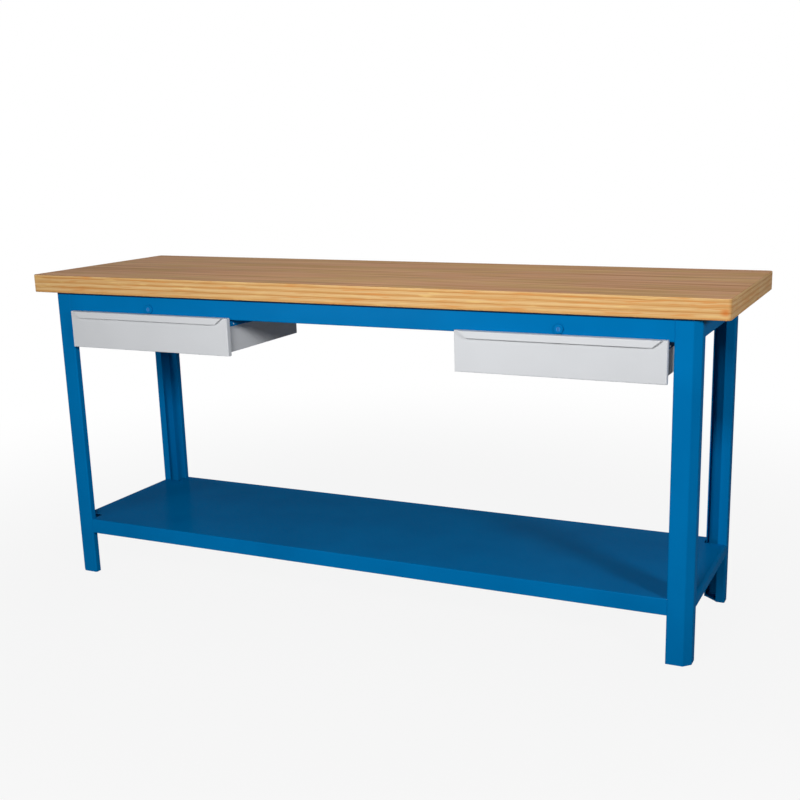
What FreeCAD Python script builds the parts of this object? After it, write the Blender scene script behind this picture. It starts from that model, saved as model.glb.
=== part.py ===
"""Two-drawer workbench: multiplex worktop, folded sheet steel frame, bottom shelf and two hung drawers.

Units are millimetres. +Z is up, the front faces -Y. The origin lies on the floor under the middle of the
overall length and depth, the drawers' pull lips included.
"""
import FreeCAD, Part
import math
import os
from FreeCAD import Vector

# ---- worktop ---------------------------------------------------------------------------------------
top_length = 2000.0
top_depth = 600.0
top_thickness = 50.0
top_corner_radius = 12.0
top_edge_radius = 2.5
overall_height = 900.0

# ---- frame -----------------------------------------------------------------------------------------
end_overhang = 65.0
front_overhang = 6.0
frame_depth = 488.0
bend_inside = 1.0

leg_width = 62.0
leg_depth = 50.0
leg_chamfer = 18.0
leg_sheet = 3.0
leg_inner_lip = 18.0
leg_side_lip = 24.0
foot_thickness = 5.0
anchor_hole = 11.0
anchor_from_side = 28.0
anchor_from_front = 23.0

rail_height = 55.0
end_rail_inset = 10.0
rail_flange = 30.0
rail_sheet = 2.0

# ---- bottom shelf ----------------------------------------------------------------------------------
shelf_level = 169.0
shelf_sheet = 1.5
shelf_lip = 43.0
shelf_end_lip = 28.0
shelf_end_bend = 8.0
shelf_return = 14.0
hat_height = 22.0
hat_crown = 34.0
hat_slope = 7.0
hat_foot = 20.0
hat_sheet = 1.2
hat_end_gap = 12.0

# ---- worktop screws --------------------------------------------------------------------------------
screw_shank = 6.0
screw_grip = 32.0
screw_head_flats = 10.0
screw_head_height = 4.0
screw_play = 0.3
screws_per_rail = 6
screw_end_margin = 150.0

# ---- drawers ---------------------------------------------------------------------------------------
drawer_leg_gap = 11.0
front_width = 530.0
front_height = 103.0
front_depth = 15.0
front_sheet = 1.2
front_fold = 2.2
rail_cover = 6.0
front_gap = 0.5
inner_plate_sheet = 1.0
inner_plate_margin = 0.4

lip_height = 17.0
lip_reach = 8.5
lip_shoulder = 7.0
lip_root = 5.0
lip_top_inset = 13.0
lip_bottom_inset = 35.0

box_side_inset = 15.0
box_depth = 368.0
box_height = 72.0
box_above_front_bottom = 5.0
box_sheet = 1.0
box_fold = 2.0
box_front_flange = 12.0
hem_height = 9.0

# ---- drawer slides ---------------------------------------------------------------------------------
drawer_travel = 280.0
running_gap = 0.3
side_play = 1.5
channel_width = 11.5
channel_sheet = 1.5
channel_above_box = 1.0
channel_setback = 2.0
channel_tail = 12.0
slider_sheet = 1.25
slider_web = 41.0
slider_edge_play = 2.0
roller_diameter = 10.0
roller_width = 6.0
roller_bore_play = 0.1
roller_end_play = 0.3
roller_rim = 0.6
pin_diameter = 4.0
pin_collar_diameter = 7.0
pin_head_diameter = 6.6
pin_head_length = 1.0
front_roller_place = 20.0
rear_roller_from_end = 12.0
stop_height = 3.0
stop_width = 4.0
stop_play = 0.5

hanger_length = 40.0
hanger_sheet = 2.0
hanger_flange = 28.0
hanger_places = (80.0, 320.0)
hanger_screw_shank = 4.0
hanger_screw_grip = 15.0
hanger_screw_head = 8.0
hanger_screw_head_height = 2.4
hanger_screw_pitch = 22.0

# ---- locks -----------------------------------------------------------------------------------------
lock_above_rail_bottom = 19.0
lock_flange_diameter = 24.0
lock_flange_thickness = 5.0
lock_body_diameter = 16.0
lock_body_length = 11.0
lock_hole_play = 0.2
lock_nut_flats = 22.0
lock_nut_thickness = 4.0
plug_diameter = 11.0
plug_play = 0.1
plug_proud = 0.6
key_slot_length = 8.0
key_slot_width = 1.6
key_slot_depth = 6.0
cam_gap = 0.6
cam_thickness = 2.0
cam_length = 35.0
cam_width = 13.0
cam_tip_width = 10.0
cam_screw_head = 8.5
cam_screw_head_height = 2.5
cam_slot_play = 2.0
catch_width = 40.0
catch_sheet = 1.5
catch_upright = 24.0
catch_foot = 18.0
catch_below_rail = 30.0
catch_play = 3.0

# ---- places worked out from the sizes --------------------------------------------------------------
front_reach = front_gap + front_depth + lip_reach - front_overhang
overall_depth = top_depth + front_reach
top_front = -overall_depth / 2 + front_reach
top_back = top_front + top_depth
top_bottom = overall_height - top_thickness

frame_front = top_front + front_overhang
frame_back = frame_front + frame_depth
frame_middle = (frame_front + frame_back) / 2
leg_outer = top_length / 2 - end_overhang
leg_inner = leg_outer - leg_width
rail_bottom = top_bottom - rail_height
end_rail_outer = leg_outer - end_rail_inset
shelf_underside = shelf_level - shelf_sheet

drawer_offset = leg_inner - drawer_leg_gap - front_width / 2
front_face = frame_front - front_gap - front_depth
plate_back = frame_front - front_gap
plate_front = plate_back - inner_plate_sheet
front_top = rail_bottom + rail_cover
front_bottom = front_top - front_height
box_bottom = front_bottom + box_above_front_bottom
box_top = box_bottom + box_height
box_back = plate_back + box_depth
box_side = front_width / 2 - box_side_inset

channel_bottom = box_top + channel_above_box
channel_floor = channel_bottom + channel_sheet
roller_axis = channel_floor + running_gap + roller_diameter / 2
slider_underside = roller_axis + roller_diameter / 2 + running_gap
slider_top = slider_underside + slider_sheet
channel_ceiling = slider_top + running_gap
channel_top = channel_ceiling + channel_sheet
channel_inner_edge = box_side + side_play
channel_web_out = channel_inner_edge + channel_width
channel_web_in = channel_web_out - channel_sheet
channel_front = frame_front + channel_setback
channel_back = box_back + channel_tail
slider_web_out = box_side - box_sheet
slider_web_in = slider_web_out - slider_sheet
slider_edge = channel_web_in - slider_edge_play
front_roller_y = frame_front + front_roller_place
rear_roller_y = box_back - rear_roller_from_end
roller_room = channel_web_in - slider_web_out
roller_middle = slider_web_out + roller_room / 2 + 0.5 * side_play

lock_axis = rail_bottom + lock_above_rail_bottom
cam_front = frame_front + lock_body_length + cam_gap
cam_back = cam_front + cam_thickness
catch_level = rail_bottom - catch_below_rail


# ---- folded sheet sections -------------------------------------------------------------------------
def direction(start, end):
    """Return the unit direction from one flat point to another."""
    span = math.hypot(end[0] - start[0], end[1] - start[1])
    return ((end[0] - start[0]) / span, (end[1] - start[1]) / span)


def turn_of(before, after):
    """Return the signed turn, in radians, from one direction to the next; a left turn is positive."""
    cross = before[0] * after[1] - before[1] * after[0]
    dot = before[0] * after[0] + before[1] * after[1]
    return math.atan2(cross, dot)


def moved_line(points, distance):
    """Return an open line of flat points moved to its left by the distance."""
    ways = [direction(a, b) for a, b in zip(points, points[1:])]
    ways = [ways[0]] + ways + [ways[-1]]
    moved = []
    for point, before, after in zip(points, ways, ways[1:]):
        share = distance / (1.0 + before[0] * after[0] + before[1] * after[1])
        shift = (-(before[1] + after[1]) * share, (before[0] + after[0]) * share)
        moved.append((point[0] + shift[0], point[1] + shift[1]))
    return moved


def bent_line(points, radii, place):
    """Return the edges of a line of flat points with a tangent arc at each inner point."""
    edges = []
    last = points[0]
    for corner, radius, before, after in zip(points[1:-1], radii, points, points[2:]):
        into = direction(before, corner)
        out = direction(corner, after)
        turn = turn_of(into, out)
        reach = radius * math.tan(abs(turn) / 2)
        start = (corner[0] - into[0] * reach, corner[1] - into[1] * reach)
        end = (corner[0] + out[0] * reach, corner[1] + out[1] * reach)
        sagitta = radius / math.cos(turn / 2) - radius
        way = direction((0.0, 0.0), (out[0] - into[0], out[1] - into[1]))
        middle = (corner[0] + way[0] * sagitta, corner[1] + way[1] * sagitta)
        edges.append(Part.LineSegment(place(last), place(start)).toShape())
        edges.append(Part.Arc(place(start), place(middle), place(end)).toShape())
        last = end
    edges.append(Part.LineSegment(place(last), place(points[-1])).toShape())
    return edges


def sheet_radii(points, sheet, inside):
    """Return the bend radii along the line and along its copy moved left by the sheet."""
    near = []
    far = []
    for before, corner, after in zip(points, points[1:], points[2:]):
        left = turn_of(direction(before, corner), direction(corner, after)) > 0
        outer_here = left == (sheet > 0)
        near.append(inside + abs(sheet) if outer_here else inside)
        far.append(inside if outer_here else inside + abs(sheet))
    return near, far


def sheet_section(points, sheet, place, inside=bend_inside):
    """Return the face of a folded sheet whose one side follows the points; positive sheet lies to the left."""
    near_radii, far_radii = sheet_radii(points, sheet, inside)
    far_points = moved_line(points, sheet)
    edges = bent_line(points, near_radii, place)
    edges += bent_line(far_points, far_radii, place)
    edges.append(Part.LineSegment(place(points[0]), place(far_points[0])).toShape())
    edges.append(Part.LineSegment(place(points[-1]), place(far_points[-1])).toShape())
    return Part.Face(Part.Wire(Part.__sortEdges__(edges)))


def along_x(start):
    """Return the placing of (y, z) points on the plane at the given x."""
    return lambda point: Vector(start, point[0], point[1])


def along_y(start):
    """Return the placing of (x, z) points on the plane at the given y."""
    return lambda point: Vector(point[0], start, point[1])


def along_z(start):
    """Return the placing of (x, y) points on the plane at the given z."""
    return lambda point: Vector(point[0], point[1], start)


def plate(points, place, sweep):
    """Return a straight-sided plate over the flat points, swept by the vector."""
    corners = [place(point) for point in points]
    return Part.Face(Part.makePolygon(corners + corners[:1])).extrude(sweep)


def block(low, high):
    """Return the box between two corners."""
    size = [b - a for a, b in zip(low, high)]
    return Part.makeBox(size[0], size[1], size[2], Vector(*low))


def rod(diameter, start, end):
    """Return a round bar between two points."""
    way = Vector(*end) - Vector(*start)
    return Part.makeCylinder(diameter / 2, way.Length, Vector(*start), way)


def hex_bar(flats, start, length, axis):
    """Return a hexagonal bar with the given width across flats, starting at a point."""
    corner = flats / math.sqrt(3.0)
    ring = [Vector(corner * math.cos(math.radians(60 * i)), corner * math.sin(math.radians(60 * i)), 0)
            for i in range(7)]
    bar = Part.Face(Part.makePolygon(ring)).extrude(Vector(0, 0, length))
    bar.Placement = FreeCAD.Placement(Vector(*start), FreeCAD.Rotation(Vector(0, 0, 1), axis))
    return bar


def mirrored_x(shape, at=0.0):
    """Return the shape mirrored in the plane at the given x."""
    return shape.mirror(Vector(at, 0, 0), Vector(1, 0, 0))


def mirrored_y(shape, at):
    """Return the shape mirrored in the plane at the given y."""
    return shape.mirror(Vector(0, at, 0), Vector(0, 1, 0))


def joined(shapes):
    """Return one clean solid fused from the shapes."""
    result = shapes[0]
    for shape in shapes[1:]:
        result = result.fuse(shape)
    return result.removeSplitter()


def spread(count, low, high):
    """Return evenly spaced values from low to high."""
    step = (high - low) / max(count - 1, 1)
    return [low + i * step for i in range(count)]


# ---- places of the worktop screws ------------------------------------------------------------------
def worktop_screw_places():
    """Return the (x, y) of each worktop screw: rows on the long rails and one on each end rail."""
    reach = leg_inner - screw_end_margin
    inset = rail_flange / 2 + rail_sheet / 2
    row = spread(screws_per_rail, -reach, reach)
    places = [(x, frame_front + inset) for x in row]
    places += [(x, frame_back - inset) for x in row]
    places += [(side * (end_rail_outer - inset), frame_middle) for side in (-1, 1)]
    return places


def hanger_screw_places():
    """Return the (x, y) of each wood screw in the hangers' top flanges."""
    flange_middle = channel_web_out + hanger_sheet + (hanger_flange - hanger_sheet) / 2
    places = []
    for drawer in (-1, 1):
        for side in (-1, 1):
            for start in hanger_places:
                middle = frame_front + start + hanger_length / 2
                for shift in (-hanger_screw_pitch / 2, hanger_screw_pitch / 2):
                    places.append((drawer * drawer_offset + side * flange_middle, middle + shift))
    return places


# ---- frame pieces ----------------------------------------------------------------------------------
def make_worktop():
    """Return the multiplex board with rounded corners, eased edges and pilot holes underneath."""
    board = block((-top_length / 2, top_front, top_bottom), (top_length / 2, top_back, overall_height))
    uprights = [e for e in board.Edges if abs(e.Vertexes[0].Z - e.Vertexes[-1].Z) > top_thickness / 2]
    board = board.makeFillet(top_corner_radius, uprights)
    rims = [e for e in board.Edges if abs(e.Vertexes[0].Z - e.Vertexes[-1].Z) < top_thickness / 2]
    board = board.makeFillet(top_edge_radius, rims)
    pilots = [pilot_hole(place, screw_shank, screw_grip) for place in worktop_screw_places()]
    pilots += [pilot_hole(place, hanger_screw_shank, hanger_screw_grip) for place in hanger_screw_places()]
    return board.cut(Part.makeCompound(pilots))


def pilot_hole(place, shank, grip):
    """Return the cutter of one screw hole in the underside of the worktop."""
    start = (place[0], place[1], top_bottom - top_edge_radius)
    end = (place[0], place[1], top_bottom + grip + screw_play)
    return rod(shank + screw_play, start, end)


def leg_line():
    """Return the outer line of the front right leg's section, from the inner lip to the side lip."""
    return [(leg_inner, frame_front + leg_inner_lip),
            (leg_inner, frame_front),
            (leg_outer - leg_chamfer, frame_front),
            (leg_outer, frame_front + leg_chamfer),
            (leg_outer, frame_front + leg_depth),
            (leg_outer - leg_side_lip, frame_front + leg_depth)]


def make_leg():
    """Return the front right leg: one folded strip with a chamfered outer corner, open on the inside."""
    section = sheet_section(leg_line(), leg_sheet, along_z(0))
    return section.extrude(Vector(0, 0, top_bottom))


def make_foot():
    """Return the foot plate welded inside the front right leg, with its floor anchor hole."""
    line = moved_line(leg_line(), leg_sheet)
    inner_radii = sheet_radii(leg_line(), leg_sheet, bend_inside)[1]
    edges = bent_line(line, inner_radii, along_z(0))
    edges.append(Part.LineSegment(along_z(0)(line[-1]), along_z(0)(line[0])).toShape())
    foot = Part.Face(Part.Wire(Part.__sortEdges__(edges))).extrude(Vector(0, 0, foot_thickness))
    spot = (leg_outer - anchor_from_side, frame_front + anchor_from_front)
    hole = rod(anchor_hole, (spot[0], spot[1], -foot_thickness), (spot[0], spot[1], 2 * foot_thickness))
    return foot.cut(hole)


def four_corners(shape):
    """Return a front right piece and its mirror images at the other three corners, by name."""
    rear_right = mirrored_y(shape, frame_middle)
    return {"front_right": shape, "front_left": mirrored_x(shape),
            "rear_right": rear_right, "rear_left": mirrored_x(rear_right)}


def screw_clearance_holes():
    """Return the cutters of the worktop screws' holes through the rails' top flanges."""
    width = screw_shank + 2 * screw_play
    cutters = [rod(width, (x, y, top_bottom - 2 * rail_sheet), (x, y, top_bottom + rail_sheet))
               for x, y in worktop_screw_places()]
    return Part.makeCompound(cutters)


def make_long_rail(front):
    """Return a long rail: a channel open to the inside of the frame; the front one carries the locks."""
    line = [(frame_front + rail_flange, top_bottom),
            (frame_front, top_bottom),
            (frame_front, rail_bottom),
            (frame_front + rail_flange, rail_bottom)]
    rail = sheet_section(line, rail_sheet, along_x(-leg_inner)).extrude(Vector(2 * leg_inner, 0, 0))
    if not front:
        rail = mirrored_y(rail, frame_middle)
    rail = rail.cut(screw_clearance_holes())
    if front:
        for side in (-1, 1):
            rail = rail.cut(lock_cutters(side * drawer_offset))
    return rail


def lock_cutters(x):
    """Return the lock's round hole in the rail's web and the slot for its cam in the lower flange."""
    hole = rod(lock_body_diameter + lock_hole_play,
               (x, frame_front - rail_sheet, lock_axis), (x, frame_front + 2 * rail_sheet, lock_axis))
    low = (x - cam_width / 2 - cam_slot_play, cam_front - cam_slot_play, rail_bottom - rail_sheet)
    high = (x + cam_length + cam_slot_play, cam_back + cam_slot_play, rail_bottom + 2 * rail_sheet)
    return Part.makeCompound([hole, block(low, high)])


def make_end_rail():
    """Return the right end rail between the front and rear legs, open to the inside."""
    line = [(end_rail_outer - rail_flange, rail_bottom),
            (end_rail_outer, rail_bottom),
            (end_rail_outer, top_bottom),
            (end_rail_outer - rail_flange, top_bottom)]
    start = frame_front + leg_depth
    rail = sheet_section(line, rail_sheet, along_y(start))
    rail = rail.extrude(Vector(0, frame_depth - 2 * leg_depth, 0))
    return rail.cut(screw_clearance_holes())


def make_shelf():
    """Return the bottom shelf: a downward tray whose corners are notched round the legs."""
    lip_bottom = shelf_level - shelf_lip
    end_bottom = shelf_level - shelf_end_lip
    across = [(frame_front + shelf_return, lip_bottom),
              (frame_front, lip_bottom),
              (frame_front, shelf_level),
              (frame_back, shelf_level),
              (frame_back, lip_bottom),
              (frame_back - shelf_return, lip_bottom)]
    middle = sheet_section(across, -shelf_sheet, along_x(-leg_inner)).extrude(Vector(2 * leg_inner, 0, 0))
    lengthwise = [(-leg_outer, end_bottom), (-leg_outer, shelf_level),
                  (leg_outer, shelf_level), (leg_outer, end_bottom)]
    start = frame_front + leg_depth
    ends = sheet_section(lengthwise, -shelf_sheet, along_y(start), shelf_end_bend)
    ends = ends.extrude(Vector(0, frame_depth - 2 * leg_depth, 0))
    return joined([middle, ends])


def make_shelf_stiffener():
    """Return the hat section welded lengthwise under the shelf."""
    half = hat_crown / 2
    low = shelf_underside - hat_height
    line = [(frame_middle - half - hat_slope - hat_foot, shelf_underside),
            (frame_middle - half - hat_slope, shelf_underside),
            (frame_middle - half, low),
            (frame_middle + half, low),
            (frame_middle + half + hat_slope, shelf_underside),
            (frame_middle + half + hat_slope + hat_foot, shelf_underside)]
    reach = leg_inner - hat_end_gap
    return sheet_section(line, -hat_sheet, along_x(-reach)).extrude(Vector(2 * reach, 0, 0))


def make_worktop_screws():
    """Return the hexagon-head wood screws that hold the worktop on the rails."""
    screws = []
    seat = top_bottom - rail_sheet
    for x, y in worktop_screw_places():
        head = hex_bar(screw_head_flats, (x, y, seat - screw_head_height), screw_head_height, Vector(0, 0, 1))
        shank = rod(screw_shank, (x, y, seat), (x, y, top_bottom + screw_grip))
        screws.append(joined([head, shank]))
    return Part.makeCompound(screws)


def make_hanger_screws():
    """Return the small wood screws that hold the slide hangers under the worktop."""
    screws = []
    seat = top_bottom - hanger_sheet
    for x, y in hanger_screw_places():
        head = rod(hanger_screw_head, (x, y, seat - hanger_screw_head_height), (x, y, seat))
        shank = rod(hanger_screw_shank, (x, y, seat), (x, y, top_bottom + hanger_screw_grip))
        screws.append(joined([head, shank]))
    return Part.makeCompound(screws)


# ---- drawer slides, drawn for the +X side of a drawer centred on x = 0 -----------------------------
def make_channel():
    """Return the fixed slide channel with its end stop and the hole for its roller pin."""
    line = [(channel_inner_edge, channel_bottom), (channel_web_out, channel_bottom),
            (channel_web_out, channel_top), (channel_inner_edge, channel_top)]
    channel = sheet_section(line, channel_sheet, along_y(channel_front))
    channel = channel.extrude(Vector(0, channel_back - channel_front, 0))
    stop_back = rear_roller_y - drawer_travel - roller_diameter / 2 - stop_play
    low = (channel_web_in - stop_width, stop_back - channel_sheet, channel_bottom + channel_sheet / 2)
    high = (channel_web_in, stop_back, channel_floor + stop_height)
    hole = rod(pin_diameter, (channel_web_in - channel_sheet, front_roller_y, roller_axis),
               (channel_web_out + channel_sheet, front_roller_y, roller_axis))
    return joined([channel, block(low, high)]).cut(hole)


def make_hangers():
    """Return the two angle hangers that carry one channel from the worktop."""
    line = [(channel_web_out, channel_bottom), (channel_web_out, top_bottom),
            (channel_web_out + hanger_flange, top_bottom)]
    hangers = []
    for start in hanger_places:
        section = sheet_section(line, -hanger_sheet, along_y(frame_front + start))
        hangers.append(section.extrude(Vector(0, hanger_length, 0)))
    holes = [rod(hanger_screw_shank + screw_play, (x - drawer_offset, y, top_bottom - 2 * hanger_sheet),
                 (x - drawer_offset, y, top_bottom + hanger_sheet)) for x, y in hanger_screw_places()]
    return Part.makeCompound(hangers).cut(Part.makeCompound(holes))


def make_slider():
    """Return the moving slide rail welded inside the drawer's side, with its roller pin hole."""
    line = [(slider_web_in, slider_top - slider_web), (slider_web_in, slider_top), (slider_edge, slider_top)]
    slider = sheet_section(line, -slider_sheet, along_y(plate_back + box_sheet))
    slider = slider.extrude(Vector(0, box_back - box_sheet - box_fold - plate_back - box_sheet, 0))
    hole = rod(pin_diameter, (slider_web_in - slider_sheet, rear_roller_y, roller_axis),
               (slider_web_out + slider_sheet, rear_roller_y, roller_axis))
    return slider.cut(hole)


def make_roller(y):
    """Return one nylon roller with rounded rims and its bore, on the slide's roller line."""
    half = roller_width / 2
    wheel = rod(roller_diameter, (roller_middle - half, y, roller_axis), (roller_middle + half, y, roller_axis))
    rims = [e for e in wheel.Edges if abs(e.Length - math.pi * roller_diameter) < 0.01]
    wheel = wheel.makeFillet(roller_rim, rims)
    bore = rod(pin_diameter + roller_bore_play, (roller_middle - roller_width, y, roller_axis),
               (roller_middle + roller_width, y, roller_axis))
    return wheel.cut(bore)


def make_pin(y, root_far, root_near, way):
    """Return a riveted roller pin: shank through the sheet, collar, journal and head.

    root_far and root_near are the sheet's faces away from and towards the roller; way is the sign of the
    X direction from the sheet to the roller.
    """
    reach = roller_width / 2 + roller_end_play
    collar_end = roller_middle - way * reach
    head_start = roller_middle + way * reach
    head_end = head_start + way * pin_head_length
    shank = rod(pin_diameter, (root_far, y, roller_axis), (head_end, y, roller_axis))
    collar = rod(pin_collar_diameter, (root_near, y, roller_axis), (collar_end, y, roller_axis))
    head = rod(pin_head_diameter, (head_start, y, roller_axis), (head_end, y, roller_axis))
    return joined([shank, collar, head])


# ---- drawer pieces, drawn for a drawer centred on x = 0 --------------------------------------------
def make_drawer_front():
    """Return the folded front: a shallow pan with a pull lip whose ends are cut on a slant."""
    half = front_width / 2
    pan = block((-half, front_face, front_bottom), (half, plate_front, front_top))
    rim = [e for e in pan.Edges if max(v.Y for v in e.Vertexes) < front_face + front_depth / 2]
    pan = pan.makeFillet(front_fold, rim)
    inner = half - front_sheet
    hollow = block((-inner, front_face + front_sheet, front_bottom + front_sheet),
                   (inner, plate_back, front_top - front_sheet))
    rim = [e for e in hollow.Edges if max(v.Y for v in e.Vertexes) < front_face + front_depth / 2]
    hollow = hollow.makeFillet(front_fold - front_sheet, rim)
    return joined([pan.cut(hollow), make_pull_lip()])


def make_pull_lip():
    """Return the strip folded forwards and down from the front's top edge."""
    half = front_width / 2
    low = front_top - lip_height
    line = [(front_face + lip_root, front_top),
            (front_face - lip_shoulder, front_top),
            (front_face - lip_reach, low)]
    strip = sheet_section(line, front_sheet, along_x(-half)).extrude(Vector(front_width, 0, 0))
    slant = (lip_bottom_inset - lip_top_inset) / lip_height
    above = front_top + front_sheet
    below = low - front_sheet
    wide = half - lip_top_inset + slant * front_sheet
    narrow = half - lip_bottom_inset - slant * front_sheet
    outline = [(-wide, above), (wide, above), (narrow, below), (-narrow, below)]
    keep = plate(outline, along_y(front_face - 2 * lip_reach), Vector(0, 2 * lip_reach + front_depth, 0))
    return strip.common(keep)


def make_inner_plate():
    """Return the flat sheet that closes the back of the folded front."""
    half = front_width / 2 - inner_plate_margin
    return block((-half, plate_front, front_bottom + inner_plate_margin),
                 (half, plate_back, front_top - inner_plate_margin))


def make_box():
    """Return the drawer's box: bottom, two sides, a hemmed back and flanges that meet the front."""
    outer = box_body(box_side, box_back, box_bottom, box_top, box_fold)
    inner = box_body(box_side - box_sheet, box_back - box_sheet, box_bottom + box_sheet,
                     box_top + box_sheet, box_fold - box_sheet)
    shell = outer.cut(inner)
    pieces = [shell]
    for side in (-1, 1):
        edge = side * (box_side - box_sheet / 2)
        inward = side * (box_side - box_front_flange)
        pieces.append(block((min(edge, inward), plate_back, box_bottom + box_sheet / 2),
                            (max(edge, inward), plate_back + box_sheet, box_top)))
    hem_half = slider_web_in - box_fold
    hem_front = box_back - 3 * box_sheet
    pieces.append(block((-hem_half, hem_front, box_top - hem_height), (hem_half, hem_front + box_sheet, box_top)))
    pieces.append(block((-hem_half, hem_front, box_top - box_sheet), (hem_half, box_back, box_top)))
    return joined(pieces)


def box_body(half, back, bottom, top, fold):
    """Return a block from the front plate backwards with folded bottom and rear edges."""
    body = block((-half, plate_back, bottom), (half, back, top))
    folds = [e for e in body.Edges if is_box_fold(e, back, bottom, top)]
    return body.makeFillet(fold, folds)


def is_box_fold(edge, back, bottom, top):
    """Tell whether an edge of the box's block is a fold: rear uprights and the bottom's sides and rear."""
    ends = edge.Vertexes
    at_back = all(abs(v.Y - back) < box_sheet / 10 for v in ends)
    at_bottom = all(abs(v.Z - bottom) < box_sheet / 10 for v in ends)
    at_top = all(abs(v.Z - top) < box_sheet / 10 for v in ends)
    at_front = all(abs(v.Y - plate_back) < box_sheet / 10 for v in ends)
    return (at_back and not at_top) or (at_bottom and not at_front)


def make_catch():
    """Return the bracket behind the drawer front that the lock's cam turns down in front of."""
    upright = cam_back + catch_play
    line = [(plate_back, catch_level - catch_foot), (plate_back, catch_level),
            (upright, catch_level), (upright, catch_level + catch_upright)]
    section = sheet_section(line, -catch_sheet, along_x(-catch_width / 2))
    return section.extrude(Vector(catch_width, 0, 0))


# ---- lock pieces, drawn at x = 0 -------------------------------------------------------------------
def make_lock_body():
    """Return the lock's fixed sleeve with its face flange."""
    flange = rod(lock_flange_diameter, (0, frame_front - lock_flange_thickness, lock_axis),
                 (0, frame_front, lock_axis))
    rim = [e for e in flange.Edges if max(v.Y for v in e.Vertexes) < frame_front - lock_flange_thickness / 2]
    flange = flange.makeFillet(lock_flange_thickness / 2, rim)
    sleeve = rod(lock_body_diameter, (0, frame_front, lock_axis),
                 (0, frame_front + lock_body_length, lock_axis))
    bore = rod(plug_diameter + plug_play, (0, frame_front - 2 * lock_flange_thickness, lock_axis),
               (0, frame_front + 2 * lock_body_length, lock_axis))
    return joined([flange, sleeve]).cut(bore)


def make_lock_nut():
    """Return the hexagon nut that clamps the lock in the rail."""
    nut = hex_bar(lock_nut_flats, (0, frame_front + rail_sheet, lock_axis), lock_nut_thickness, Vector(0, 1, 0))
    hole = rod(lock_body_diameter + lock_hole_play, (0, frame_front, lock_axis),
               (0, frame_front + rail_sheet + 2 * lock_nut_thickness, lock_axis))
    return nut.cut(hole)


def make_lock_plug():
    """Return the turning plug with its key slot."""
    start = frame_front - lock_flange_thickness - plug_proud
    plug = rod(plug_diameter, (0, start, lock_axis), (0, cam_front, lock_axis))
    slot = block((-key_slot_width / 2, start - key_slot_depth, lock_axis - key_slot_length / 2),
                 (key_slot_width / 2, start + key_slot_depth, lock_axis + key_slot_length / 2))
    return plug.cut(slot)


def make_lock_cam():
    """Return the cam blade, pointing sideways when unlocked."""
    root = rod(cam_width, (0, cam_front, lock_axis), (0, cam_back, lock_axis))
    tip_middle = cam_length - cam_tip_width / 2
    tip = rod(cam_tip_width, (tip_middle, cam_front, lock_axis), (tip_middle, cam_back, lock_axis))
    outline = [(0, lock_axis - cam_width / 2), (tip_middle, lock_axis - cam_tip_width / 2),
               (tip_middle, lock_axis + cam_tip_width / 2), (0, lock_axis + cam_width / 2)]
    blade = plate(outline, along_y(cam_front), Vector(0, cam_thickness, 0))
    return joined([root, tip, blade])


def make_cam_screw():
    """Return the screw head that holds the cam on the plug."""
    return hex_bar(cam_screw_head, (0, cam_back, lock_axis), cam_screw_head_height, Vector(0, 1, 0))


# ---- nodes -----------------------------------------------------------------------------------------
def frame_nodes():
    """Return the welded frame, shelf, worktop and the screws that join them."""
    end_rail = make_end_rail()
    nodes = {"worktop": make_worktop(),
             "front_rail": make_long_rail(front=True),
             "rear_rail": make_long_rail(front=False),
             "right_end_rail": end_rail,
             "left_end_rail": mirrored_x(end_rail),
             "bottom_shelf": make_shelf(),
             "shelf_stiffener": make_shelf_stiffener(),
             "worktop_screws": make_worktop_screws(),
             "hanger_screws": make_hanger_screws()}
    for corner, leg in four_corners(make_leg()).items():
        nodes[corner + "_leg"] = leg
    for corner, foot in four_corners(make_foot()).items():
        nodes[corner + "_foot_plate"] = foot
    return nodes


def moved_x(shape, x):
    """Return a copy of the shape moved along X."""
    copy = shape.copy()
    copy.translate(Vector(x, 0, 0))
    return copy


def drawer_nodes():
    """Return both drawers with their slides, rollers and locks; outer means the side next to the legs."""
    slide_pieces = {"channel": make_channel(),
                    "channel_hangers": make_hangers(),
                    "slide_rail": make_slider(),
                    "front_roller": make_roller(front_roller_y),
                    "rear_roller": make_roller(rear_roller_y),
                    "front_roller_pin": make_pin(front_roller_y, channel_web_out, channel_web_in, -1),
                    "rear_roller_pin": make_pin(rear_roller_y, slider_web_in, slider_web_out, 1)}
    paired = ("front_roller_pin", "rear_roller_pin")
    whole_pieces = {"drawer_front": make_drawer_front(),
                    "drawer_inner_plate": make_inner_plate(),
                    "drawer_box": make_box(),
                    "lock_catch": make_catch(),
                    "lock_body": make_lock_body(),
                    "lock_nut": make_lock_nut(),
                    "lock_plug": make_lock_plug(),
                    "lock_cam": make_lock_cam(),
                    "lock_cam_screw": make_cam_screw()}
    nodes = {}
    for hand, sign in (("left", -1), ("right", 1)):
        middle = sign * drawer_offset
        for name, shape in whole_pieces.items():
            nodes[hand + "_" + name] = moved_x(shape, middle)
        for name, shape in slide_pieces.items():
            right_side = moved_x(shape, middle)
            left_side = moved_x(mirrored_x(shape), middle)
            if name in paired:
                nodes[hand + "_" + name + "s"] = Part.makeCompound([left_side, right_side])
                continue
            outer, inner = (right_side, left_side) if sign > 0 else (left_side, right_side)
            nodes[hand + "_outer_" + name] = outer
            nodes[hand + "_inner_" + name] = inner
    return nodes


def main():
    """Build every node and write one STEP file for each."""
    os.makedirs("parts", exist_ok=True)
    nodes = frame_nodes()
    nodes.update(drawer_nodes())
    for name, shape in nodes.items():
        if not shape.isValid() or not shape.Solids:
            raise ValueError(name + " is not a valid solid")
        shape.exportStep("parts/" + name + ".step")
    print(len(nodes), "nodes written")


main()
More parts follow.
